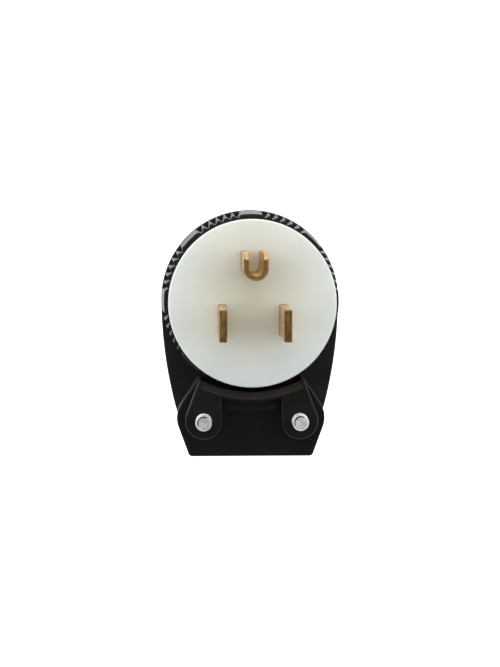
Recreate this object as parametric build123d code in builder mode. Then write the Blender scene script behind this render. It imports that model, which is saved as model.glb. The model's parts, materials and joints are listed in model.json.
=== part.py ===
"""Right-angle grounded plug, NEMA 5-15 pattern, for a cord that leaves sideways.

Millimetres. The origin is the centre of the white face: the prongs point to -Y,
the rear of the housing is at +Y, and the cord leaves downwards, to -Z.
Sketches on XZ planes face the front, so a negative extrusion goes to the rear.
"""

from build123d import *
import os
from math import cos, radians, sin, sqrt

# ---------------------------------------------------------------- driving dimensions

# Prongs, from the NEMA 5-15 pattern
blade_spacing = 12.7
blade_width = 6.35
blade_thickness = 1.52
blade_reach = 18.0
ground_rise = 11.89
ground_width = 4.76
ground_wall = 0.9
ground_reach = 20.6
ground_stretch = 0.55
blade_z = -3.4
ground_z = blade_z + ground_rise
bend_z = ground_z - ground_stretch

# Depths behind the face plane
face_depth = 6.5
face_rear = 12.0
shelf_rear = 14.0
housing_front = 17.0
block_rear = 19.0
chamber_rear = 33.0
back = 36.0

# Radii about the plug's axis
face_radius = 17.5
spigot_radius = 16.2
ring_front_radius = 18.55
ring_rear_radius = 19.35
rim_radius = 19.45
chamber_radius = 16.4
pillar_radius = 4.5

# Index ring's grip: eight smooth pads, six grooves between neighbours
pads = 8
grooves_per_gap = 6
pad_angle = 13.4
groove_front_floor = 17.85
groove_rear_floor = 18.2

# Cord clamp and neck, measured from the plug's axis
neck_bottom = -33.7
neck_bottom_half = 13.3
clamp_front = 4.5
panel_front = 10.5
screw_x = 10.2
screw_z = -25.2
clamp_screw_spots = ((screw_x, screw_z), (-screw_x, screw_z))
lobe_radius = 3.9
lug_radius = 5.75
ledge_corner = (10.8, -18.2)
ledge_middle_z = -20.6
ledge_rise_depth = 2.2
ledge_crest = 1.35
ledge_rear_fall = 1.0
lip_front_thickness = 0.45
lip_root_thickness = 3.2
horn_tip = (11.2, -16.8)
cord_axis_y = 19.0
cord_radius = 4.8

# Screws: number 6 in the clamp and terminals, number 8 at the pivot
six_radius = 1.73
eight_radius = 2.08
clamp_screw_end = 1.5
terminal_y = 23.8

# Fits
running = 0.05
seat_gap = 0.05
clearance = 0.1

os.makedirs("parts", exist_ok=True)


def front_plane(depth):
    """A plane facing the front, this far behind the face plane."""
    return Plane.XZ.offset(-depth)


def write(builder, name):
    """Labels a finished sub-part and writes its STEP file."""
    builder.part.label = name
    export_step(builder.part, f"parts/{name}.step")


# ---------------------------------------------------------------- prongs

blade_spots = ((blade_spacing / 2, blade_z), (-blade_spacing / 2, blade_z))
tab_width = 7.0
tab_rear = 28.0
shoulder_width = 9.6
shoulder_front = 7.0
blade_tip_bevel = 0.2
blade_edge_round = 0.22

for name, side in (("neutral_blade", 1), ("line_blade", -1)):
    x = side * blade_spacing / 2
    with BuildPart() as blade:
        with BuildSketch(Plane.YZ.offset(x - blade_thickness / 2)):
            with Locations(((shoulder_front - blade_reach) / 2, blade_z)):
                Rectangle(blade_reach + shoulder_front, blade_width)
            with Locations(((shoulder_front + face_rear) / 2, blade_z)):
                Rectangle(face_rear - shoulder_front, shoulder_width)
            with Locations(((face_rear + tab_rear) / 2, blade_z)):
                Rectangle(tab_rear - face_rear, tab_width)
        extrude(amount=blade_thickness)
        long_edges = blade.edges().filter_by(Axis.Y)
        fillet([e for e in long_edges if (e @ 0.5).Y < 0], blade_edge_round)
        tip = blade.faces().sort_by(Axis.Y)[0]
        chamfer(tip.edges(), blade_tip_bevel)
        with Locations(Plane.YZ.offset(x) * Location((terminal_y, blade_z, 0))):
            Hole(six_radius + running)
    write(blade, name)

ground_bend = ground_width / 2
ground_leg = ground_bend + ground_stretch
leg_middle = bend_z + ground_leg / 2
tab_bottom = bend_z - ground_bend
ground_outer_bevel = 0.5
ground_tip_slope = 2.5


def on_ground_outside(point):
    """Whether a point is on the outside of the U-shaped pin."""
    return max(abs(point.X), bend_z - point.Z) > ground_bend - running


with BuildPart() as ground_pin:
    with BuildSketch(front_plane(-ground_reach)):
        with Locations((0, bend_z)):
            Circle(ground_bend)
        with Locations((0, leg_middle)):
            Rectangle(ground_width, ground_leg)
        with Locations((0, bend_z)):
            Circle(ground_bend - ground_wall, mode=Mode.SUBTRACT)
        with Locations((0, leg_middle)):
            Rectangle(ground_width - 2 * ground_wall, ground_leg, mode=Mode.SUBTRACT)
    extrude(amount=-(ground_reach + block_rear + clearance))
    # The legs slope down towards the tip
    with BuildSketch(Plane.YZ):
        with BuildLine():
            Polyline(
                (-ground_reach, ground_z + ground_bend - ground_tip_slope / 2),
                (-ground_reach + ground_tip_slope, ground_z + ground_bend),
                (-ground_reach, ground_z + ground_bend),
                close=True,
            )
        make_face()
    extrude(amount=ground_width, both=True, mode=Mode.SUBTRACT)
    tip_edges = ground_pin.faces().sort_by(Axis.Y)[0].edges()
    chamfer([e for e in tip_edges if on_ground_outside(e @ 0.5)], ground_outer_bevel)
    with BuildSketch(Plane.XY.offset(tab_bottom)):
        with Locations((0, (block_rear + clearance + tab_rear) / 2)):
            Rectangle(tab_width, tab_rear - block_rear - clearance)
    extrude(amount=ground_wall)
    with Locations((0, terminal_y, tab_bottom)):
        Hole(six_radius + running)
write(ground_pin, "ground_pin")

# ---------------------------------------------------------------- face body

face_edge = 0.35
face_wall = 4.6
cavity_radius = 13.8
core_screw_circle = 12.0
core_screw_angles = (30, 150, 270)
core_screw_radius = 1.45
core_boss_radius = 2.9
blade_boss = (4.6, 12.8)
ground_boss = (8.0, 8.4)


def core_screw_spots():
    """Centres of the three screws that hold the terminal block to the face body."""
    return [
        (core_screw_circle * cos(radians(a)), core_screw_circle * sin(radians(a)))
        for a in core_screw_angles
    ]


with BuildPart() as face_body:
    with BuildSketch(Plane.XY) as face_section:
        with BuildLine():
            Polyline(
                (0, 0),
                (face_radius, 0),
                (face_radius, face_depth),
                (spigot_radius, face_depth),
                (spigot_radius, face_rear),
                (0, face_rear),
                close=True,
            )
        make_face()
        rim_corner = face_section.vertices().group_by(Axis.Y)[0].sort_by(Axis.X)[-1]
        fillet(rim_corner, face_edge)
    revolve(axis=Axis.Y)
    # Hollow behind the front wall, with bosses left around the prongs and screws
    with BuildSketch(front_plane(face_rear)):
        Circle(cavity_radius)
        with Locations(*blade_spots):
            Rectangle(*blade_boss, mode=Mode.SUBTRACT)
        with Locations((0, ground_z)):
            Rectangle(*ground_boss, mode=Mode.SUBTRACT)
        with Locations(*core_screw_spots()):
            Circle(core_boss_radius, mode=Mode.SUBTRACT)
    extrude(amount=face_rear - face_wall, mode=Mode.SUBTRACT)
    # Blade slots, with deeper pockets for the shoulders
    with BuildSketch(front_plane(0)):
        with Locations(*blade_spots):
            Rectangle(blade_thickness + 2 * running, blade_width + 2 * running)
    extrude(amount=-face_rear, mode=Mode.SUBTRACT)
    with BuildSketch(front_plane(shoulder_front - running)):
        with Locations(*blade_spots):
            Rectangle(blade_thickness + 2 * running, shoulder_width + 2 * running)
    extrude(amount=-face_rear, mode=Mode.SUBTRACT)
    # U-shaped slot for the ground pin
    with BuildSketch(front_plane(0)):
        with Locations((0, bend_z)):
            Circle(ground_bend + running)
        with Locations((0, leg_middle + running / 2)):
            Rectangle(ground_width + 2 * running, ground_leg + running)
        with Locations((0, bend_z)):
            Circle(ground_bend - ground_wall - running, mode=Mode.SUBTRACT)
        with Locations((0, leg_middle + running)):
            Rectangle(
                ground_width - 2 * ground_wall - 2 * running,
                ground_leg + 2 * running,
                mode=Mode.SUBTRACT,
            )
    extrude(amount=-face_rear, mode=Mode.SUBTRACT)
    with BuildSketch(front_plane(face_rear)):
        with Locations(*core_screw_spots()):
            Circle(core_screw_radius)
    extrude(amount=face_rear - face_wall, mode=Mode.SUBTRACT)
write(face_body, "face_body")

# ---------------------------------------------------------------- index ring

ring_rear = housing_front - seat_gap
ring_edge = 0.2
shelf_radius = 14.5
flange_radius = 16.9

gap_angle = 360 / pads - pad_angle
groove_pitch = gap_angle / grooves_per_gap
groove_fill = 0.9
groove_overrun = 0.1
ring_taper = (ring_rear_radius - ring_front_radius) / (ring_rear - face_depth)
groove_taper = (groove_rear_floor - groove_front_floor) / (ring_rear - face_depth)


def groove_section(depth):
    """Outline of a groove at this depth, along +X: an apex on its floor, open outwards."""
    surface = ring_front_radius + ring_taper * (depth - face_depth)
    floor = groove_front_floor + groove_taper * (depth - face_depth)
    half = surface * radians(groove_pitch * groove_fill / 2)
    spread = half / (surface - floor)
    outer = surface + groove_overrun
    return [(floor, 0), (outer, -spread * (outer - floor)), (outer, spread * (outer - floor))]


# One groove along the ring, cut slightly past both of its ends
with BuildPart() as groove:
    for depth in (face_depth - groove_overrun, ring_rear + groove_overrun):
        with BuildSketch(front_plane(depth)):
            Polygon(*groove_section(depth), align=None)
    loft(ruled=True)

groove_angles = [
    90 + pad * 360 / pads + (pad_angle + groove_pitch) / 2 + index * groove_pitch
    for pad in range(pads)
    for index in range(grooves_per_gap)
]

with BuildPart() as index_ring:
    with BuildSketch(Plane.XY) as ring_section:
        with BuildLine():
            Polyline(
                (spigot_radius + running, face_depth),
                (ring_front_radius, face_depth),
                (ring_rear_radius, ring_rear),
                (flange_radius + running, ring_rear),
                (flange_radius + running, shelf_rear),
                (shelf_radius, shelf_rear),
                (shelf_radius, face_rear),
                (spigot_radius + running, face_rear),
                close=True,
            )
        make_face()
        ring_corner = ring_section.vertices().group_by(Axis.Y)[0].sort_by(Axis.X)[-1]
        chamfer(ring_corner, ring_edge)
    revolve(axis=Axis.Y)
    with Locations(*[Location((0, 0, 0), (0, -angle, 0)) for angle in groove_angles]):
        add(groove.part, mode=Mode.SUBTRACT)
write(index_ring, "index_ring")

# ---------------------------------------------------------------- terminal block

pillar_rear = 27.0 - seat_gap
insert_front = 20.0
insert_radius = 3.0
core_head_radius = 2.5
core_head_depth = 2.0
barrier_angles = (50, 130)
barrier_thickness = 1.2
barrier_rear = 25.5
barrier_radius = 15.4

with BuildPart() as terminal_block:
    with BuildSketch(Plane.XY):
        with BuildLine():
            Polyline(
                (0, face_rear),
                (shelf_radius - running, face_rear),
                (shelf_radius - running, shelf_rear),
                (flange_radius, shelf_rear),
                (flange_radius, ring_rear),
                (chamber_radius - clearance, ring_rear),
                (chamber_radius - clearance, block_rear),
                (pillar_radius, block_rear),
                (pillar_radius, pillar_rear),
                (0, pillar_rear),
                close=True,
            )
        make_face()
    revolve(axis=Axis.Y)
    # Barriers keep the ground wire away from the two live ones
    with BuildSketch(front_plane(block_rear)):
        for angle in barrier_angles:
            with Locations(Rotation(0, 0, angle) * Location((barrier_radius / 2, 0, 0))):
                Rectangle(barrier_radius, barrier_thickness)
        Circle(pillar_radius - clearance, mode=Mode.SUBTRACT)
    extrude(amount=-(barrier_rear - block_rear))
    # Slots for the prongs' tabs
    with BuildSketch(front_plane(face_rear)):
        with Locations(*blade_spots):
            Rectangle(blade_thickness + 2 * running, tab_width + 2 * running)
        with Locations((0, bend_z)):
            Circle(ground_bend + running)
        with Locations((0, leg_middle)):
            Rectangle(ground_width + 2 * running, ground_leg + 2 * running)
    extrude(amount=-(block_rear - face_rear), mode=Mode.SUBTRACT)
    with BuildSketch(front_plane(face_rear)):
        with Locations(*core_screw_spots()):
            Circle(core_screw_radius + clearance)
    extrude(amount=-(block_rear - face_rear), mode=Mode.SUBTRACT)
    with BuildSketch(front_plane(block_rear)):
        with Locations(*core_screw_spots()):
            Circle(core_head_radius + clearance)
    extrude(amount=core_head_depth + running, mode=Mode.SUBTRACT)
    with BuildSketch(front_plane(pillar_rear)):
        Circle(insert_radius)
    extrude(amount=pillar_rear - insert_front, mode=Mode.SUBTRACT)
write(terminal_block, "terminal_block")

# ---------------------------------------------------------------- housing

dome_round = 5.5
dome_taper = 0.5
chamber_round = 2.5
neck_bow_radius = 94.0
neck_bow_end = -24.0
neck_rear_fall = 5.4
neck_tuck = 0.02
neck_foot_corner = 3.6
neck_sections = 12
neck_foot_round = 0.5
rim_bevel = 0.25
boss_radius = 5.0
boss_front = 27.0
pivot_seat = 32.2
pivot_pocket_radius = 4.6
pivot_bore_radius = eight_radius + 0.08
clamp_seat = 26.4
clamp_pocket_radius = 3.8
cord_grip_rise = 0.45
cord_grips_z = (-22.4, -25.0, -27.6)
cord_lead_in = 0.6
throat_top = -13.0


def neck_half_width(z):
    """Half the neck's width at its front: a bowed side, tangent to the rim, then a taper."""
    bow_centre = rim_radius - neck_tuck - neck_bow_radius
    if z > neck_bow_end:
        return bow_centre + sqrt(neck_bow_radius**2 - z**2)
    bow_foot = bow_centre + sqrt(neck_bow_radius**2 - neck_bow_end**2)
    down = (z - neck_bow_end) / (neck_bottom - neck_bow_end)
    return bow_foot + (neck_bottom_half - bow_foot) * down


def neck_rear(z):
    """Depth of the neck's rear, which eases forward on its way down."""
    down = z / neck_bottom
    return back - neck_tuck - neck_rear_fall * down**2 * (3 - 2 * down)


# Solid of the cord's passage, with a groove for each grip ridge
with BuildPart() as cord_passage:
    with BuildSketch(Plane.YZ):
        with BuildLine():
            outline = [(cord_axis_y, throat_top), (cord_axis_y + cord_radius, throat_top)]
            for z in cord_grips_z:
                for dz, rise in ((cord_grip_rise, 0), (0, cord_grip_rise), (-cord_grip_rise, 0)):
                    outline.append((cord_axis_y + cord_radius - rise, z + dz))
            outline += [
                (cord_axis_y + cord_radius, neck_bottom + cord_lead_in),
                (cord_axis_y + cord_radius + cord_lead_in, neck_bottom),
                (cord_axis_y, neck_bottom),
            ]
            Polyline(*outline, close=True)
        make_face()
    revolve(axis=Axis((0, cord_axis_y, 0), (0, 0, 1)))

with BuildPart() as housing:
    # Neck, lofted down through its sections
    for index in range(neck_sections + 1):
        z = neck_bottom * index / neck_sections
        with BuildSketch(Plane.XY.offset(z)) as section:
            front_half = neck_half_width(z)
            rear_half = front_half - dome_taper
            Polygon(
                (rim_bevel - front_half, housing_front),
                (front_half - rim_bevel, housing_front),
                (front_half, housing_front + rim_bevel),
                (rear_half, neck_rear(z)),
                (-rear_half, neck_rear(z)),
                (-front_half, housing_front + rim_bevel),
                align=None,
            )
            corner = dome_round + (neck_foot_corner - dome_round) * z / neck_bottom
            fillet(section.vertices().group_by(Axis.Y)[-1], corner)
    loft()
    foot_edges = housing.faces().sort_by(Axis.Z)[0].edges()
    fillet([e for e in foot_edges if (e @ 0.5).Y > housing_front + rim_bevel], neck_foot_round)
    # Dome, turned about the plug's axis
    with BuildSketch(Plane.XY) as dome_section:
        with BuildLine():
            Polyline(
                (0, housing_front),
                (rim_radius - rim_bevel, housing_front),
                (rim_radius, housing_front + rim_bevel),
                (rim_radius - dome_taper, back),
                (0, back),
                close=True,
            )
        make_face()
        fillet(dome_section.vertices().group_by(Axis.Y)[-1].sort_by(Axis.X)[-1], dome_round)
    revolve(axis=Axis.Y)
    # Wiring chamber, with the pivot's boss left standing on its rear wall
    with BuildSketch(Plane.XY) as chamber_section:
        with BuildLine():
            Polyline(
                (0, housing_front),
                (chamber_radius, housing_front),
                (chamber_radius, chamber_rear),
                (boss_radius, chamber_rear),
                (boss_radius, boss_front),
                (0, boss_front),
                close=True,
            )
        make_face()
        fillet(chamber_section.vertices().group_by(Axis.Y)[-1].sort_by(Axis.X)[-1], chamber_round)
    revolve(axis=Axis.Y, mode=Mode.SUBTRACT)
    with BuildSketch(front_plane(boss_front)):
        Circle(pivot_bore_radius)
    extrude(amount=-(back - boss_front), mode=Mode.SUBTRACT)
    with BuildSketch(front_plane(pivot_seat)):
        Circle(pivot_pocket_radius)
    extrude(amount=-(back - pivot_seat), mode=Mode.SUBTRACT)
    with BuildSketch(front_plane(housing_front)):
        with Locations(*clamp_screw_spots):
            Circle(six_radius + clearance)
    extrude(amount=-(back - housing_front), mode=Mode.SUBTRACT)
    with BuildSketch(front_plane(clamp_seat)):
        with Locations(*clamp_screw_spots):
            Circle(clamp_pocket_radius)
    extrude(amount=-(back - clamp_seat), mode=Mode.SUBTRACT)
    add(cord_passage.part, mode=Mode.SUBTRACT)
write(housing, "housing")

# ---------------------------------------------------------------- cord clamp

clamp_rear = housing_front - clearance
ledge_slope = 33
ledge_rise = ledge_corner[1] - ledge_middle_z
ledge_radius = (ledge_corner[0] ** 2 + ledge_rise**2) / (2 * ledge_rise)
ledge_centre = (0, ledge_middle_z + ledge_radius)
nut_flats = 7.9
nut_height = 2.8
nut_pocket_depth = nut_height + 0.3
foot_round = 0.9
clamp_edge = 0.3


def tangent_corner(radius, upper, lower):
    """Where two tangents of a screw's lug cross; the angles are their normals'."""
    middle = radians((upper + lower) / 2)
    reach = radius / cos(radians((upper - lower) / 2))
    return (screw_x + reach * cos(middle), screw_z + reach * sin(middle))


def tangent_point(radius, angle):
    """The point at this angle on a circle about the right-hand screw's axis."""
    return (screw_x + radius * cos(radians(angle)), screw_z + radius * sin(radians(angle)))


lobe_tangent = 19.7
lobe_rim_top = -19.5
lip_overlap = ledge_crest + 0.3
plate_top = (11.45, -16.75)
plate_foot_tangent = -22
lobe_shoulder = tangent_point(lobe_radius, lobe_tangent)

# Lip along the ledge, thin at the front and coved underneath
with BuildPart() as lip:
    with BuildSketch(Plane.YZ):
        with BuildLine():
            front_foot = (clamp_front, ledge_middle_z - lip_front_thickness)
            root_foot = (panel_front, ledge_middle_z - lip_root_thickness)
            root_top = (panel_front, ledge_middle_z + lip_overlap)
            front_top = (clamp_front, ledge_middle_z + lip_overlap)
            TangentArc(front_foot, root_foot, tangent=(1, 0))
            Polyline(root_foot, root_top, front_top, front_foot)
        make_face()
    revolve(axis=Axis((0, 0, ledge_centre[1]), (0, 1, 0)))
    with Locations((0, panel_front, ledge_centre[1] - ledge_radius)):
        Box(2 * screw_x, 2 * panel_front, ledge_radius, mode=Mode.INTERSECT)

# Space over the ledge: it rises from the front to a crest, then falls away from the ring
with BuildPart() as ledge_hollow:
    with BuildSketch(Plane.YZ):
        with BuildLine():
            crest_z = ledge_middle_z + ledge_crest
            Polyline(
                (clamp_front - clearance, ledge_centre[1]),
                (clamp_front - clearance, ledge_middle_z),
                (clamp_front, ledge_middle_z),
                (clamp_front + ledge_rise_depth, crest_z),
                (clamp_rear + clearance, crest_z - ledge_rear_fall),
                (clamp_rear + clearance, ledge_centre[1]),
                close=True,
            )
        make_face()
    revolve(axis=Axis((0, 0, ledge_centre[1]), (0, 1, 0)))
    # Cut to the width between the horns; twice the rim's diameter is more than its height
    Box(2 * ledge_corner[0], 2 * housing_front, 4 * rim_radius, mode=Mode.INTERSECT)

with BuildPart() as cord_clamp:
    # Plate with a lug about each screw and a tapering foot
    with BuildSketch(front_plane(panel_front)) as plate_outline:
        right = [
            plate_top,
            tangent_corner(lug_radius, ledge_slope, plate_foot_tangent),
            (neck_bottom_half, neck_bottom),
        ]
        with BuildLine():
            Polyline(*right, *[(-x, z) for x, z in reversed(right)], close=True)
        make_face()
        corners = plate_outline.vertices()
        fillet([v for v in corners if abs(v.X) > screw_x + lug_radius], lug_radius)
        fillet(plate_outline.vertices().group_by(Axis.Y)[0], foot_round)
    extrude(amount=-(clamp_rear - panel_front))
    plate_rim = cord_clamp.faces().sort_by(Axis.Y)[0].edges()
    fillet([e for e in plate_rim if (e @ 0.5).Z < plate_top[1]], clamp_edge)
    # Two lobes standing forward, joined along the top by a thin lip
    with BuildSketch(front_plane(clamp_front)):
        for side in (1, -1):
            with Locations((side * screw_x, screw_z)):
                Circle(lobe_radius)
            with BuildLine():
                Polyline(
                    (side * (screw_x - lobe_radius), screw_z),
                    (side * (screw_x - lobe_radius), horn_tip[1]),
                    (side * horn_tip[0], horn_tip[1]),
                    (side * lobe_shoulder[0], lobe_shoulder[1]),
                    (side * screw_x, screw_z),
                    close=True,
                )
            make_face()
    extrude(amount=-(panel_front - clamp_front))
    lobe_rims = cord_clamp.faces().filter_by(Axis.Y).group_by(Axis.Y)[0].edges()
    fillet([e for e in lobe_rims if (e @ 0.5).Z < lobe_rim_top], clamp_edge)
    add(lip.part)
    add(ledge_hollow.part, mode=Mode.SUBTRACT)
    # Saddle for the cord, screw holes and pockets that hold the nuts
    add(cord_passage.part, mode=Mode.SUBTRACT)
    with BuildSketch(front_plane(clamp_front)):
        with Locations(*clamp_screw_spots):
            Circle(six_radius + clearance)
    extrude(amount=-(clamp_rear - clamp_front), mode=Mode.SUBTRACT)
    with BuildSketch(front_plane(clamp_rear)):
        with Locations(*clamp_screw_spots):
            RegularPolygon((nut_flats + clearance) / 2, 6, major_radius=False)
    extrude(amount=nut_pocket_depth, mode=Mode.SUBTRACT)
write(cord_clamp, "cord_clamp")

# ---------------------------------------------------------------- fasteners

pan_rise = 0.7
slot_width = 1.0
slot_depth = 1.1
slot_reach = 1.25


def pan_head_screw(radius, shank, head_radius, head_height, tip):
    """A screw along -Z with its head's underside at the origin, cross recess on top."""
    with BuildPart(mode=Mode.PRIVATE) as screw:
        with BuildSketch(Plane.XZ) as half:
            with BuildLine():
                Polyline(
                    (0, -shank),
                    (radius - tip, -shank),
                    (radius, -shank + tip),
                    (radius, 0),
                    (head_radius, 0),
                    (head_radius, head_height),
                    (0, head_height),
                    close=True,
                )
            make_face()
            fillet(half.vertices().sort_by(Axis.X)[-2:].sort_by(Axis.Z)[-1], pan_rise)
        revolve(axis=Axis.Z)
        with BuildSketch(Plane.XY.offset(head_height)):
            Rectangle(slot_reach * head_radius, slot_width)
            Rectangle(slot_width, slot_reach * head_radius)
        extrude(amount=-slot_depth, mode=Mode.SUBTRACT)
    return screw.part


def washer(inner, outer, thickness):
    """A flat washer standing on the XY plane."""
    with BuildPart(mode=Mode.PRIVATE) as ring:
        Cylinder(outer, thickness, align=(Align.CENTER, Align.CENTER, Align.MIN))
        Cylinder(
            inner, thickness, align=(Align.CENTER, Align.CENTER, Align.MIN), mode=Mode.SUBTRACT
        )
    return ring.part


def facing(x, y, z, direction):
    """A plane at a point, with its normal along a direction."""
    return Plane(origin=(x, y, z), z_dir=direction)


clamp_washer_thickness = 0.5
clamp_head_radius = 3.4
clamp_head_height = 2.2
clamp_tip = 0.48
clamp_head_seat = clamp_seat + clamp_washer_thickness

clamp_screw = pan_head_screw(
    six_radius, clamp_head_seat - clamp_screw_end, clamp_head_radius, clamp_head_height, clamp_tip
)
for name, x in (("clamp_screw_left", -screw_x), ("clamp_screw_right", screw_x)):
    with BuildPart() as placed_screw:
        with Locations(facing(x, clamp_head_seat, screw_z, (0, 1, 0))):
            add(clamp_screw)
    write(placed_screw, name)

for name, x in (("clamp_nut_left", -screw_x), ("clamp_nut_right", screw_x)):
    with BuildPart() as clamp_nut:
        with BuildSketch(front_plane(clamp_rear - nut_pocket_depth)):
            with Locations((x, screw_z)):
                RegularPolygon(nut_flats / 2, 6, major_radius=False)
                Circle(six_radius + running, mode=Mode.SUBTRACT)
        extrude(amount=-nut_height)
    write(clamp_nut, name)

with BuildPart() as clamp_washers:
    with Locations(
        facing(-screw_x, clamp_seat, screw_z, (0, 1, 0)),
        facing(screw_x, clamp_seat, screw_z, (0, 1, 0)),
    ):
        add(washer(six_radius + clearance, clamp_head_radius + clearance, clamp_washer_thickness))
write(clamp_washers, "clamp_washers")

core_screw_length = 9.0
core_screw_tip = 0.4
core_screw = pan_head_screw(
    core_screw_radius - running,
    core_screw_length,
    core_head_radius,
    core_head_depth,
    core_screw_tip,
)
with BuildPart() as core_screws:
    with Locations(
        *[
            facing(x, block_rear - core_head_depth, z, (0, 1, 0))
            for x, z in core_screw_spots()
        ]
    ):
        add(core_screw)
write(core_screws, "core_screws")

# Pivot, from the rear: screw head, split washer, flat washer, housing, brass insert
pivot_washer_thickness = 0.8
lock_washer_thickness = 0.7
lock_washer_gap = 0.6
pivot_head_radius = 3.9
pivot_head_height = 2.1
pivot_screw_length = 12.7
pivot_screw_tip = 0.5
lock_washer_seat = pivot_seat + pivot_washer_thickness
pivot_head_seat = lock_washer_seat + lock_washer_thickness

with BuildPart() as pivot_insert:
    with BuildSketch(front_plane(insert_front)):
        Circle(insert_radius)
        Circle(eight_radius + running, mode=Mode.SUBTRACT)
    extrude(amount=-(pillar_rear - insert_front))
write(pivot_insert, "pivot_insert")

with BuildPart() as pivot_washer:
    with Locations(facing(0, pivot_seat, 0, (0, 1, 0))):
        add(washer(pivot_bore_radius, pivot_pocket_radius - clearance, pivot_washer_thickness))
write(pivot_washer, "pivot_washer")

with BuildPart() as pivot_lock_washer:
    with Locations(facing(0, lock_washer_seat, 0, (0, 1, 0))):
        add(washer(eight_radius + clearance, pivot_head_radius, lock_washer_thickness))
    with BuildSketch(front_plane(lock_washer_seat)):
        with Locations((0, pivot_head_radius / 2)):
            Rectangle(lock_washer_gap, pivot_head_radius)
    extrude(amount=-lock_washer_thickness, mode=Mode.SUBTRACT)
write(pivot_lock_washer, "pivot_lock_washer")

with BuildPart() as pivot_screw:
    with Locations(facing(0, pivot_head_seat, 0, (0, 1, 0))):
        add(
            pan_head_screw(
                eight_radius,
                pivot_screw_length,
                pivot_head_radius,
                pivot_head_height,
                pivot_screw_tip,
            )
        )
write(pivot_screw, "pivot_screw")

# ---------------------------------------------------------------- terminals

wire_plate_size = 6.8
wire_plate_thickness = 1.0
wire_plate_corner = 0.8
terminal_head_radius = 3.1
terminal_head_height = 2.1
terminal_end = 0.8
terminal_tip = 0.3
plate_gap = 0.03

# Name, point on the tab's outer face under the screw, outward direction, tab thickness
terminals = (
    (
        "neutral",
        (blade_spacing / 2 + blade_thickness / 2, terminal_y, blade_z),
        (1, 0, 0),
        blade_thickness,
    ),
    (
        "line",
        (-blade_spacing / 2 - blade_thickness / 2, terminal_y, blade_z),
        (-1, 0, 0),
        blade_thickness,
    ),
    ("ground", (0, terminal_y, tab_bottom + ground_wall), (0, 0, 1), ground_wall),
)

for name, point, outward, tab in terminals:
    tab_face = Plane(origin=point, x_dir=(0, 1, 0), z_dir=outward)
    plate_rear = plate_gap + wire_plate_thickness
    with BuildPart() as wire_plate:
        with BuildSketch(tab_face.offset(plate_gap)):
            RectangleRounded(wire_plate_size, wire_plate_size, wire_plate_corner)
            Circle(six_radius + clearance, mode=Mode.SUBTRACT)
        extrude(amount=wire_plate_thickness)
    write(wire_plate, f"{name}_wire_plate")
    with BuildPart() as terminal_screw:
        with Locations(tab_face.offset(plate_rear)):
            add(
                pan_head_screw(
                    six_radius,
                    plate_rear + tab + terminal_end,
                    terminal_head_radius,
                    terminal_head_height,
                    terminal_tip,
                )
            )
    write(terminal_screw, f"{name}_terminal_screw")
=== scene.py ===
"""Looks of a right-angle grounded plug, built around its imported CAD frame. Metres."""

import json
from math import cos, pi, sin

import bpy
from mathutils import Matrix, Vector

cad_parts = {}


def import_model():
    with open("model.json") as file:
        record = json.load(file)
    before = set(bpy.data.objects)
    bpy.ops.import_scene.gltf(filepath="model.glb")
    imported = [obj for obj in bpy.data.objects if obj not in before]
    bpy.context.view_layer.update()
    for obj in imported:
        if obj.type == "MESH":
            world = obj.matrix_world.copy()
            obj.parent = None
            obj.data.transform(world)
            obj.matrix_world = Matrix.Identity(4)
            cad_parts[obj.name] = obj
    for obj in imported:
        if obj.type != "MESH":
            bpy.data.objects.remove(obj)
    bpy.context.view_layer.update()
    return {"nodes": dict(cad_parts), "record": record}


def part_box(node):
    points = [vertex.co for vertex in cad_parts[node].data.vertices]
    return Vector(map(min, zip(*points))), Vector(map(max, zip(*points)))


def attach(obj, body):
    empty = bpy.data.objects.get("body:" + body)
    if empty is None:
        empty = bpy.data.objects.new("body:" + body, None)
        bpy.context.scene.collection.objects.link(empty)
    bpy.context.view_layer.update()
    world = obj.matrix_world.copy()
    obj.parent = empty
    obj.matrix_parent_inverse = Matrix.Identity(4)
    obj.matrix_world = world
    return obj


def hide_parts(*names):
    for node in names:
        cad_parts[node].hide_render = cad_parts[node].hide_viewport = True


MM = 0.001

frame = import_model()


# ---------------------------------------------------------------- node helpers

BEVEL_SAMPLES = 6

# The colour sockets of a mix node share their names with its other types, so they go by number
MIX_FIRST, MIX_SECOND, MIX_RESULT = 6, 7, 2


def new_material(name):
    """An empty node material: the material, its node tree and its Principled shader."""
    material = bpy.data.materials.new(name)
    material.use_nodes = True
    tree = material.node_tree
    tree.nodes.clear()
    output = tree.nodes.new("ShaderNodeOutputMaterial")
    shader = tree.nodes.new("ShaderNodeBsdfPrincipled")
    tree.links.new(shader.outputs["BSDF"], output.inputs["Surface"])
    return material, tree, shader


def set_inputs(node, **values):
    """Sets a node's inputs by name; underscores stand for spaces."""
    for key, value in values.items():
        node.inputs[key.replace("_", " ")].default_value = value


def place(tree, stretch=(1, 1, 1), offset=(0, 0, 0)):
    """The piece's own coordinates in metres, stretched and shifted."""
    coordinates = tree.nodes.new("ShaderNodeTexCoord")
    mapping = tree.nodes.new("ShaderNodeMapping")
    set_inputs(mapping, Scale=stretch, Location=offset)
    tree.links.new(coordinates.outputs["Object"], mapping.inputs["Vector"])
    return mapping.outputs["Vector"]


def noise(tree, scale, detail=4.0, roughness=0.5, stretch=(1, 1, 1)):
    """Noise over the piece's own coordinates."""
    texture = tree.nodes.new("ShaderNodeTexNoise")
    set_inputs(texture, Scale=scale, Detail=detail, Roughness=roughness)
    tree.links.new(place(tree, stretch), texture.inputs["Vector"])
    return texture.outputs["Fac"]


def ramp(tree, source, *stops):
    """Maps a grey source through (position, colour) stops."""
    node = tree.nodes.new("ShaderNodeValToRGB")
    elements = node.color_ramp.elements
    while len(elements) < len(stops):
        elements.new(1.0)
    for element, (position, colour) in zip(elements, stops):
        element.position = position
        element.color = colour
    tree.links.new(source, node.inputs["Fac"])
    return node.outputs["Color"]


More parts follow.
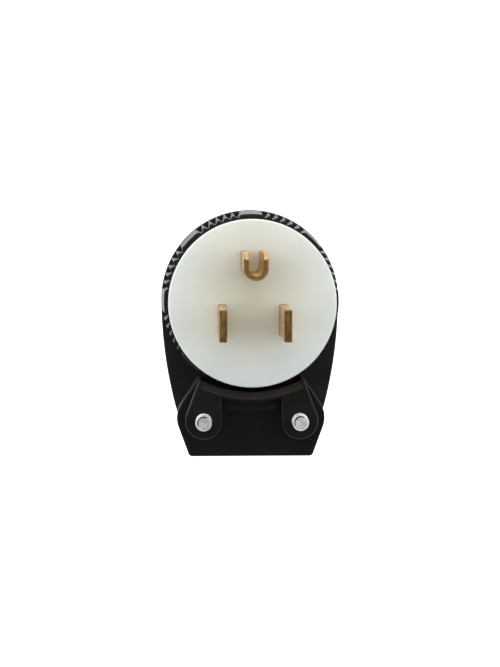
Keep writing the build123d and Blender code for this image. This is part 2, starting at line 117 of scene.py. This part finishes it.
def grey(value):
    """An opaque grey."""
    return (value, value, value, 1.0)


def shade(colour, factor=1.0):
    """An opaque colour, darkened or lightened by a factor."""
    return tuple(channel * factor for channel in colour) + (1.0,)


def math(tree, operation, *values):
    """A maths node on its inputs, each a socket or a number."""
    node = tree.nodes.new("ShaderNodeMath")
    node.operation = operation
    for socket, value in zip(node.inputs, values):
        if isinstance(value, (int, float)):
            socket.default_value = value
        else:
            tree.links.new(value, socket)
    return node.outputs["Value"]


def mix(tree, blend, factor, first, second):
    """A colour mix, with its factor and colours as sockets or values."""
    node = tree.nodes.new("ShaderNodeMix")
    node.data_type = "RGBA"
    node.blend_type = blend
    sockets = (node.inputs["Factor"], node.inputs[MIX_FIRST], node.inputs[MIX_SECOND])
    for socket, value in zip(sockets, (factor, first, second)):
        if isinstance(value, (float, int, tuple)):
            socket.default_value = value
        else:
            tree.links.new(value, socket)
    return node.outputs[MIX_RESULT]


def bumps(tree, shader, *layers):
    """Stacks (height, distance in metres, strength) layers onto the shader's normal."""
    normal = None
    for height, distance, strength in layers:
        node = tree.nodes.new("ShaderNodeBump")
        set_inputs(node, Strength=strength, Distance=distance)
        tree.links.new(height, node.inputs["Height"])
        if normal:
            tree.links.new(normal, node.inputs["Normal"])
        normal = node.outputs["Normal"]
    tree.links.new(normal, shader.inputs["Normal"])


def component(tree, vector, axis):
    """One component of a vector socket."""
    split = tree.nodes.new("ShaderNodeSeparateXYZ")
    tree.links.new(vector, split.inputs["Vector"])
    return split.outputs[axis]


def facing(tree, axis):
    """How far the surface faces along one of the piece's own axes, from -1 to 1."""
    coordinates = tree.nodes.new("ShaderNodeTexCoord")
    return component(tree, coordinates.outputs["Normal"], axis)


def edges(tree, radius):
    """Black that rises to white along the piece's edges, within this radius."""
    bevel = tree.nodes.new("ShaderNodeBevel")
    bevel.samples = BEVEL_SAMPLES
    set_inputs(bevel, Radius=radius)
    geometry = tree.nodes.new("ShaderNodeNewGeometry")
    likeness = tree.nodes.new("ShaderNodeVectorMath")
    likeness.operation = "DOT_PRODUCT"
    tree.links.new(bevel.outputs["Normal"], likeness.inputs[0])
    tree.links.new(geometry.outputs["Normal"], likeness.inputs[1])
    return ramp(tree, likeness.outputs["Value"], (0.8, grey(1)), (0.985, grey(0)))


# ---------------------------------------------------------------- materials

# Radius of the edge marks: rubbed wear with painted highlight on dark plastic, darkening along
# the white face's edges and corners, painted dark reflection on the prongs' ends and edges
EDGE_MARK_RADIUS = 0.16 * MM
# How much lighter the edges of dark plastic are painted: partly rubbed wear, partly painted
# highlight
RUBBED_AND_HIGHLIT_LIGHTER = 3.6
FACE_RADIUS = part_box("face_body")[1].x
ALONG_PRONG = (1, 0.12, 0.3)

# In the face's painted shade and brass reflection between the prongs, height counts for less
# than width, and its middle lies a little high
SHADE_PATCH_FLATTENED = 0.88
SHADE_PATCH_SHIFT = 3 * MM


def dark_plastic(name, colour, rough, shine=0.36, dust_and_top_light=None):
    """Dark moulded plastic: fine grain, flow marks, edges lighter from rubbed wear and painted
    highlight, dust and painted top light on what faces up.
    """
    material, tree, shader = new_material(name)
    set_inputs(shader, Specular_IOR_Level=shine)
    mottle = ramp(
        tree,
        noise(tree, scale=320, detail=3),
        (0.35, shade(colour, 0.82)),
        (0.65, shade(colour, 1.2)),
    )
    # Upward faces painted lighter: dust, and painted light from above
    if dust_and_top_light:
        upward = ramp(tree, facing(tree, "Z"), (0.3, grey(0)), (0.75, grey(1)))
        mottle = mix(tree, "MIX", upward, mottle, shade(dust_and_top_light))
    # Edges painted lighter: rubbed wear, and painted highlight where edges catch the light
    rubbed_and_highlit = math(tree, "MULTIPLY", edges(tree, EDGE_MARK_RADIUS), noise(tree, scale=900))
    tree.links.new(
        mix(tree, "MIX", rubbed_and_highlit, mottle, shade(colour, RUBBED_AND_HIGHLIT_LIGHTER)),
        shader.inputs["Base Color"],
    )
    flow = noise(tree, scale=160, detail=2, stretch=(1, 0.35, 1))
    tree.links.new(
        ramp(tree, flow, (0.3, grey(rough - 0.05)), (0.7, grey(rough + 0.07))),
        shader.inputs["Roughness"],
    )
    bumps(
        tree,
        shader,
        (noise(tree, scale=90, detail=1), 0.03 * MM, 0.25),
        (noise(tree, scale=5200, detail=2), 0.007 * MM, 0.55),
    )
    return material


def white_nylon():
    """Natural white nylon: lets light in, cool at the rim; darker and warmer between the prongs
    with painted shade and painted brass reflection, and painted shade towards its foot.
    """
    material, tree, shader = new_material("white_nylon")
    set_inputs(
        shader,
        Subsurface_Weight=0.3,
        Subsurface_Radius=(1.0, 0.85, 0.6),
        Subsurface_Scale=2 * MM,
        Specular_IOR_Level=0.4,
    )
    radius = tree.nodes.new("ShaderNodeVectorMath")
    radius.operation = "LENGTH"
    flattened = place(tree, stretch=(1, 0, SHADE_PATCH_FLATTENED), offset=(0, 0, -SHADE_PATCH_SHIFT))
    tree.links.new(flattened, radius.inputs[0])
    outwards = math(tree, "DIVIDE", radius.outputs["Value"], FACE_RADIUS)
    # Painted shade of the prongs and painted reflection of their brass: darker and warmer
    # towards the middle of the face
    body = ramp(
        tree,
        outwards,
        (0.0, shade((0.63, 0.625, 0.525))),
        (0.35, shade((0.71, 0.72, 0.625))),
        (0.7, shade((0.805, 0.84, 0.785))),
        (0.92, shade((0.815, 0.87, 0.855))),
    )
    # Height on the face, from 0 at its foot to 1 at its top
    upwards = component(tree, place(tree), "Z")
    height = math(tree, "MULTIPLY_ADD", upwards, 0.5 / FACE_RADIUS, 0.5)
    # Painted shade: the face darker towards its foot, where less light falls
    painted_lower_shade = ramp(tree, height, (0.0, grey(0.88)), (0.35, grey(1.0)))
    clouds = ramp(
        tree, noise(tree, scale=140, detail=3), (0.3, grey(0.975)), (0.7, grey(1.0))
    )
    # Darker along the face's edges and into its corners
    edge_darkening = ramp(tree, edges(tree, 2 * EDGE_MARK_RADIUS), (0.0, grey(1.0)), (1.0, grey(0.8)))
    toned = mix(tree, "MULTIPLY", 1.0, mix(tree, "MULTIPLY", 1.0, body, painted_lower_shade), edge_darkening)
    tree.links.new(mix(tree, "MULTIPLY", 1.0, toned, clouds), shader.inputs["Base Color"])
    tree.links.new(
        ramp(tree, noise(tree, scale=600), (0.35, grey(0.36)), (0.65, grey(0.47))),
        shader.inputs["Roughness"],
    )
    bumps(
        tree,
        shader,
        (noise(tree, scale=70, detail=1), 0.04 * MM, 0.3),
        (noise(tree, scale=2600, detail=3), 0.004 * MM, 0.5),
    )
    return material


def painted_dark_reflection(tree):
    """White on the prong's bevelled ends and edges, a little less on its end face: where a dark
    reflection is painted.
    """
    endwise = math(tree, "ABSOLUTE", facing(tree, "Y"))
    ends = ramp(
        tree, endwise, (0.3, grey(0)), (0.55, grey(1)), (0.85, grey(1)), (0.97, grey(0.6))
    )
    return math(tree, "MAXIMUM", ends, edges(tree, EDGE_MARK_RADIUS))


def metal(
    name, colour, stain, rough, grain=(1, 1, 1), grain_depth=0.003 * MM, bare=1.0, ends=None
):
    """Bare or plated metal: blotches of stain, fine scratches along the grain, painted dark
    reflection on the ends.
    """
    material, tree, shader = new_material(name)
    set_inputs(shader, Metallic=bare)
    patches = noise(tree, scale=420, detail=5, roughness=0.6)
    blotches = ramp(tree, patches, (0.38, grey(0)), (0.68, grey(1)))
    streaks = noise(tree, scale=1500, detail=4, roughness=0.6, stretch=grain)
    tinted = mix(tree, "MIX", blotches, shade(colour), shade(stain))
    # Painted dark reflection on the piece's ends and edges
    if ends:
        tinted = mix(tree, "MIX", painted_dark_reflection(tree), tinted, shade(ends))
    fine = ramp(tree, streaks, (0.3, grey(0.86)), (0.7, grey(1.08)))
    tree.links.new(mix(tree, "MULTIPLY", 1.0, tinted, fine), shader.inputs["Base Color"])
    tree.links.new(
        ramp(tree, streaks, (0.3, grey(rough - 0.08)), (0.7, grey(rough + 0.12))),
        shader.inputs["Roughness"],
    )
    waves = noise(tree, scale=260, detail=2)
    bumps(tree, shader, (waves, 0.015 * MM, 0.35), (streaks, grain_depth, 0.7))
    return material


materials = {
    "black_nylon": dark_plastic("black_nylon", (0.0076, 0.0056, 0.0040), 0.42),
    "ring_nylon": dark_plastic("ring_nylon", (0.0042, 0.0033, 0.0026), 0.32, shine=0.3),
    "clamp_nylon": dark_plastic(
        # Dust and painted top light on the clamp's upward faces
        "clamp_nylon", (0.0058, 0.0044, 0.0033), 0.42, shine=0.25, dust_and_top_light=(0.046, 0.039, 0.035)
    ),
    "white_nylon": white_nylon(),
    "phenolic": dark_plastic("phenolic", (0.03, 0.022, 0.016), 0.5),
    "prong_brass": metal(
        "prong_brass",
        (0.84, 0.57, 0.23),
        (0.58, 0.36, 0.12),
        0.28,
        grain=ALONG_PRONG,
        grain_depth=0.005 * MM,
        # Painted dark reflection on the prong's ends and edges
        ends=(0.27, 0.135, 0.038),
    ),
    "screw_brass": metal("screw_brass", (0.75, 0.52, 0.22), (0.6, 0.38, 0.14), 0.28),
    "screw_zinc": metal(
        "screw_zinc",
        (0.88, 0.90, 0.89),
        (0.55, 0.57, 0.53),
        0.45,
        grain_depth=0.009 * MM,
        bare=0.65,
    ),
    "screw_green": metal("screw_green", (0.06, 0.32, 0.12), (0.04, 0.22, 0.09), 0.34),
}

slot_of = {part["node"]: part["material_slot"] for part in frame["record"]["subparts"]}
for name, slot in slot_of.items():
    node = frame["nodes"][name]
    node.data.materials.clear()
    node.data.materials.append(materials[slot])


# ---------------------------------------------------------------- threaded clamp screws

# A number 6 screw with 32 threads to the inch
SCREW_MAJOR = 1.73 * MM
SCREW_MINOR = 1.22 * MM
SCREW_PITCH = 25.4 / 32 * MM
FLANK_SLOPE = 1.25
RUN_IN = 0.5 * SCREW_PITCH
POINT_LENGTH = 0.35 * MM
SEAT_TOLERANCE = 0.01 * MM
TURN_STEPS = 64
ROWS_PER_PITCH = 16

# The screw's point from its middle outwards, in millimetres: radius, depth, and extra depth
# where the thread starts
POINT_PROFILE = (
    (0.0, 0.10, 0.0),
    (0.75, 0.03, 0.0),
    (1.04, 0.0, 0.0),
    (1.09, 0.05, 0.0),
    (1.12, 0.10, 2.2),
    (1.43, 0.12, 2.2),
    (1.47, 0.10, 0.0),
    (1.60, 0.14, 0.0),
)
# Where the thread starts round the point and how far its notch spreads, in radians
START_ANGLE = 2.3
START_SPREAD = 1.5


def thread_radius(depth, turn):
    """Radius of the shank this far from its tip, at this fraction of a turn."""
    phase = (depth / SCREW_PITCH - turn) % 1.0
    flank = min(1.0, FLANK_SLOPE * abs(2 * phase - 1))
    grown = min(1.0, (depth - POINT_LENGTH) / RUN_IN)
    groove = (SCREW_MAJOR - SCREW_MINOR) * (1 - flank) * grown
    return SCREW_MAJOR - groove


def thread_start(angle):
    """From 0 to 1: how deep the groove at the thread's start is, round the screw's point."""
    away = abs((angle - START_ANGLE + pi) % (2 * pi) - pi)
    return max(0.0, cos(pi / 2 * min(1.0, away / START_SPREAD)))


def screw_body(vertices, faces, x, z, tip, seat):
    """Adds a screw's point and threaded shank along +Y, up to its head's seat."""
    rows = round((seat - tip - POINT_LENGTH) / SCREW_PITCH * ROWS_PER_PITCH)
    first = len(vertices)
    rings = len(POINT_PROFILE) + rows + 1
    for ring in range(rings):
        for step in range(TURN_STEPS):
            turn = step / TURN_STEPS
            angle = 2 * pi * turn
            if ring < len(POINT_PROFILE):
                radius, depth, notch = (value * MM for value in POINT_PROFILE[ring])
                depth += notch * thread_start(angle)
            else:
                row = ring - len(POINT_PROFILE)
                depth = POINT_LENGTH + (seat - tip - POINT_LENGTH) * row / rows
                radius = thread_radius(depth, turn)
            vertices.append((x + radius * cos(angle), tip + depth, z + radius * sin(angle)))
    for ring in range(rings - 1):
        for step in range(TURN_STEPS):
            here = first + ring * TURN_STEPS + step
            beside = first + ring * TURN_STEPS + (step + 1) % TURN_STEPS
            faces.append((here, here + TURN_STEPS, beside + TURN_STEPS, beside))


def threaded_screw(name):
    """A clamp screw with a real thread; its head is taken over from the CAD screw."""
    low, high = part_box(name)
    x = (low.x + high.x) / 2
    z = (low.z + high.z) / 2
    source = frame["nodes"][name].data
    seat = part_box("clamp_washers")[1].y
    vertices = []
    faces = []
    head = {}
    for polygon in source.polygons:
        corners = [source.vertices[index].co for index in polygon.vertices]
        if min(corner.y for corner in corners) > seat - SEAT_TOLERANCE:
            for index in polygon.vertices:
                if index not in head:
                    head[index] = len(vertices)
                    vertices.append(tuple(source.vertices[index].co))
            faces.append(tuple(head[index] for index in polygon.vertices))
    screw_body(vertices, faces, x, z, low.y, seat)
    mesh = bpy.data.meshes.new(f"{name}_threaded")
    mesh.from_pydata(vertices, [], faces)
    mesh.validate()
    mesh.materials.append(materials["screw_zinc"])
    piece = bpy.data.objects.new(f"{name}_threaded", mesh)
    bpy.context.scene.collection.objects.link(piece)
    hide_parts(name)
    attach(piece, name)


for side in ("left", "right"):
    threaded_screw(f"clamp_screw_{side}")


# ---------------------------------------------------------------- stage

STAGE_REACH = 3.0
EYE = Vector((-10.2, -290, 17.2)) * MM
AIM = Vector((-0.55, 0, -6.2)) * MM
LENS = 75.7
NEAREST = 0.01
FARTHEST = 20


def glowing(name, strength):
    """A white material that gives off its own light."""
    material, tree, shader = new_material(name)
    set_inputs(shader, Base_Color=grey(0.8), Roughness=0.6, Emission_Strength=strength)
    shader.inputs["Emission Color"].default_value = grey(1)
    return material


def stage_mesh(name, vertices, faces, material):
    """Part of the stage that the camera sees and that doesn't light the plug."""
    mesh = bpy.data.meshes.new(name)
    mesh.from_pydata(vertices, [], faces)
    mesh.materials.append(material)
    piece = bpy.data.objects.new(name, mesh)
    piece.visible_diffuse = False
    piece.visible_glossy = False
    piece.visible_shadow = False
    bpy.context.scene.collection.objects.link(piece)


def floor_and_walls(level, reach):
    """A white floor, with a white box of walls and ceiling round it."""
    corners = [(-reach, -reach), (reach, -reach), (reach, reach), (-reach, reach)]
    vertices = [(x, y, level) for x, y in corners] + [(x, y, level + reach) for x, y in corners]
    white = glowing("white_stage", 1.0)
    stage_mesh("floor", vertices, [(0, 1, 2, 3)], white)
    walls = [(4, 7, 6, 5)] + [(i, i + 4, (i + 1) % 4 + 4, (i + 1) % 4) for i in range(4)]
    stage_mesh("backdrop", vertices, walls, white)


def world():
    """White behind the plug and dim in front of it, with more light from above and below."""
    sky = bpy.data.worlds.new("studio")
    sky.use_nodes = True
    tree = sky.node_tree
    background = tree.nodes["Background"]
    coordinates = tree.nodes.new("ShaderNodeTexCoord")
    direction = coordinates.outputs["Generated"]
    # From 0 in front of the plug to 1 behind it, and from 0 below it to 1 above it
    depth = math(tree, "MULTIPLY_ADD", component(tree, direction, "Y"), 0.5, 0.5)
    height = math(tree, "MULTIPLY_ADD", component(tree, direction, "Z"), 0.5, 0.5)
    behind = ramp(tree, depth, (0.0, grey(0.13)), (0.42, grey(0.18)), (0.6, grey(1.2)))
    ends = ramp(
        tree, height, (0.0, grey(0.35)), (0.4, grey(0)), (0.6, grey(0)), (0.95, grey(0.6))
    )
    tree.links.new(mix(tree, "ADD", 1.0, behind, ends), background.inputs["Color"])
    bpy.context.scene.world = sky


def area_light(name, location, width, height, power):
    """A soft rectangular light that faces the plug; its power is in watts."""
    data = bpy.data.lights.new(name, "AREA")
    data.shape = "RECTANGLE"
    data.size = width
    data.size_y = height
    data.energy = power
    light = bpy.data.objects.new(name, data)
    light.location = location
    light.rotation_euler = (-Vector(location)).to_track_quat("-Z", "Y").to_euler()
    bpy.context.scene.collection.objects.link(light)


def camera():
    """The product shot: close, slightly above and left of the plug's axis."""
    data = bpy.data.cameras.new("camera")
    data.lens = LENS
    data.clip_start = NEAREST
    data.clip_end = FARTHEST
    eye = bpy.data.objects.new("camera", data)
    eye.location = EYE
    eye.rotation_euler = (AIM - EYE).to_track_quat("-Z", "Y").to_euler()
    bpy.context.scene.collection.objects.link(eye)
    bpy.context.scene.camera = eye


floor_and_walls(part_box("housing")[0].z, STAGE_REACH)
world()
camera()
area_light("left_box", (-0.5, -0.36, 0.14), width=0.45, height=0.6, power=1.83)
area_light("right_box", (0.5, -0.36, 0.14), width=0.45, height=0.6, power=1.86)
area_light("top_box", (0.0, -0.35, 0.5), width=0.6, height=0.3, power=1.1)
area_light("front_box", (0.0, -0.8, 0.2), width=0.5, height=0.3, power=0.3)
bpy.context.scene.view_settings.view_transform = "Standard"
